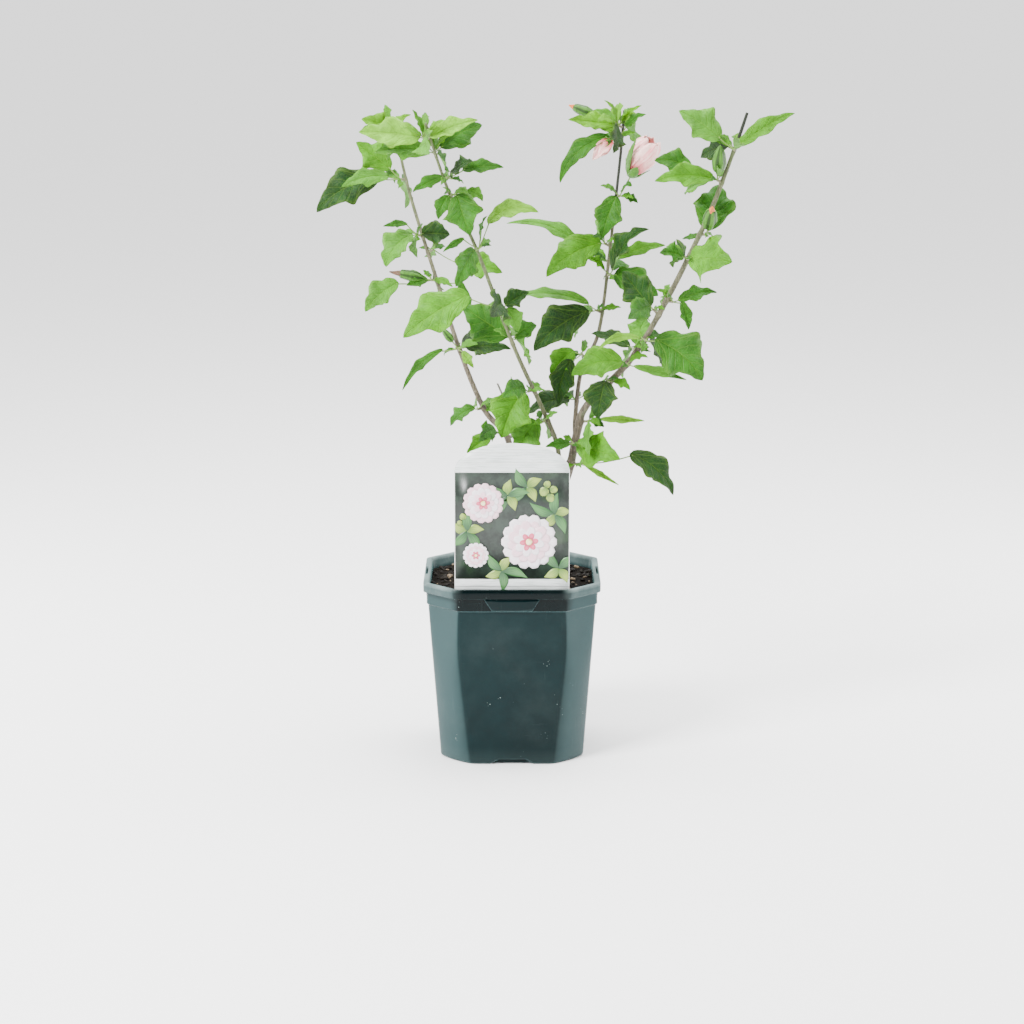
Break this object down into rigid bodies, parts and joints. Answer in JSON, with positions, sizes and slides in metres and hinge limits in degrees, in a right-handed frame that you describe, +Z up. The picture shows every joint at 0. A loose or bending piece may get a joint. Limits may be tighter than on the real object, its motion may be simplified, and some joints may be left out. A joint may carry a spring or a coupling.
{
  "type": "potted hibiscus shrub",
  "caption": "Young hibiscus shrub with slender leaning stems, lobed leaves, buds and a half-open bloom, standing in a square cut-corner nursery pot with a plain picture card.",
  "frame": {"origin": "middle of the pot's flat underside", "axes": "+Z up along the pot's axis, -Y to the front where the card stands, +X to the right"},
  "size_m": [0.4478, 0.2842, 0.6239],
  "materials": {
    "pot": "glossy dark petrol plastic with scuffs",
    "potting_mix": "loose dark bark and peat",
    "card": "satin printed card",
    "bark": "grey-brown bark turning green on the young wood",
    "foliage": "soft green leaves with pale veins"
  },
  "bodies": {
    "root": {"pot": "pot", "potting_mix": "potting_mix", "plant_card": "card", "trunk": "bark", "stem_d": "bark", "stem_a": "bark", "stem_b": "bark", "stem_c": "bark", "dead_stub": "bark", "spray_a_310": "foliage", "spray_a_331": "foliage", "spray_a_384": "foliage", "spray_a_450": "foliage", "spray_a_476": "foliage", "spray_a_492": "foliage", "spray_a_545": "foliage", "spray_a_588": "foliage", "spray_b_324": "foliage", "spray_b_355": "foliage", "spray_b_402": "foliage", "spray_b_436": "foliage", "spray_b_494": "foliage", "spray_b_545": "foliage", "spray_b_560": "foliage", "spray_b_582": "foliage", "spray_b_598": "foliage", "spray_c_338": "foliage", "spray_c_378": "foliage", "spray_c_421": "foliage", "spray_c_456": "foliage", "spray_c_468": "foliage", "spray_c_484": "foliage", "spray_c_530": "foliage", "spray_c_584": "foliage", "spray_c_596": "foliage", "spray_d_280": "foliage", "spray_d_300": "foliage", "spray_d_322": "foliage", "spray_d_362": "foliage", "spray_d_380": "foliage", "spray_d_390": "foliage", "spray_d_404": "foliage", "spray_d_428": "foliage", "spray_d_442": "foliage", "spray_d_482": "foliage", "spray_d_506": "foliage", "spray_d_554": "foliage", "spray_d_584": "foliage"}
  },
  "joints": []
}
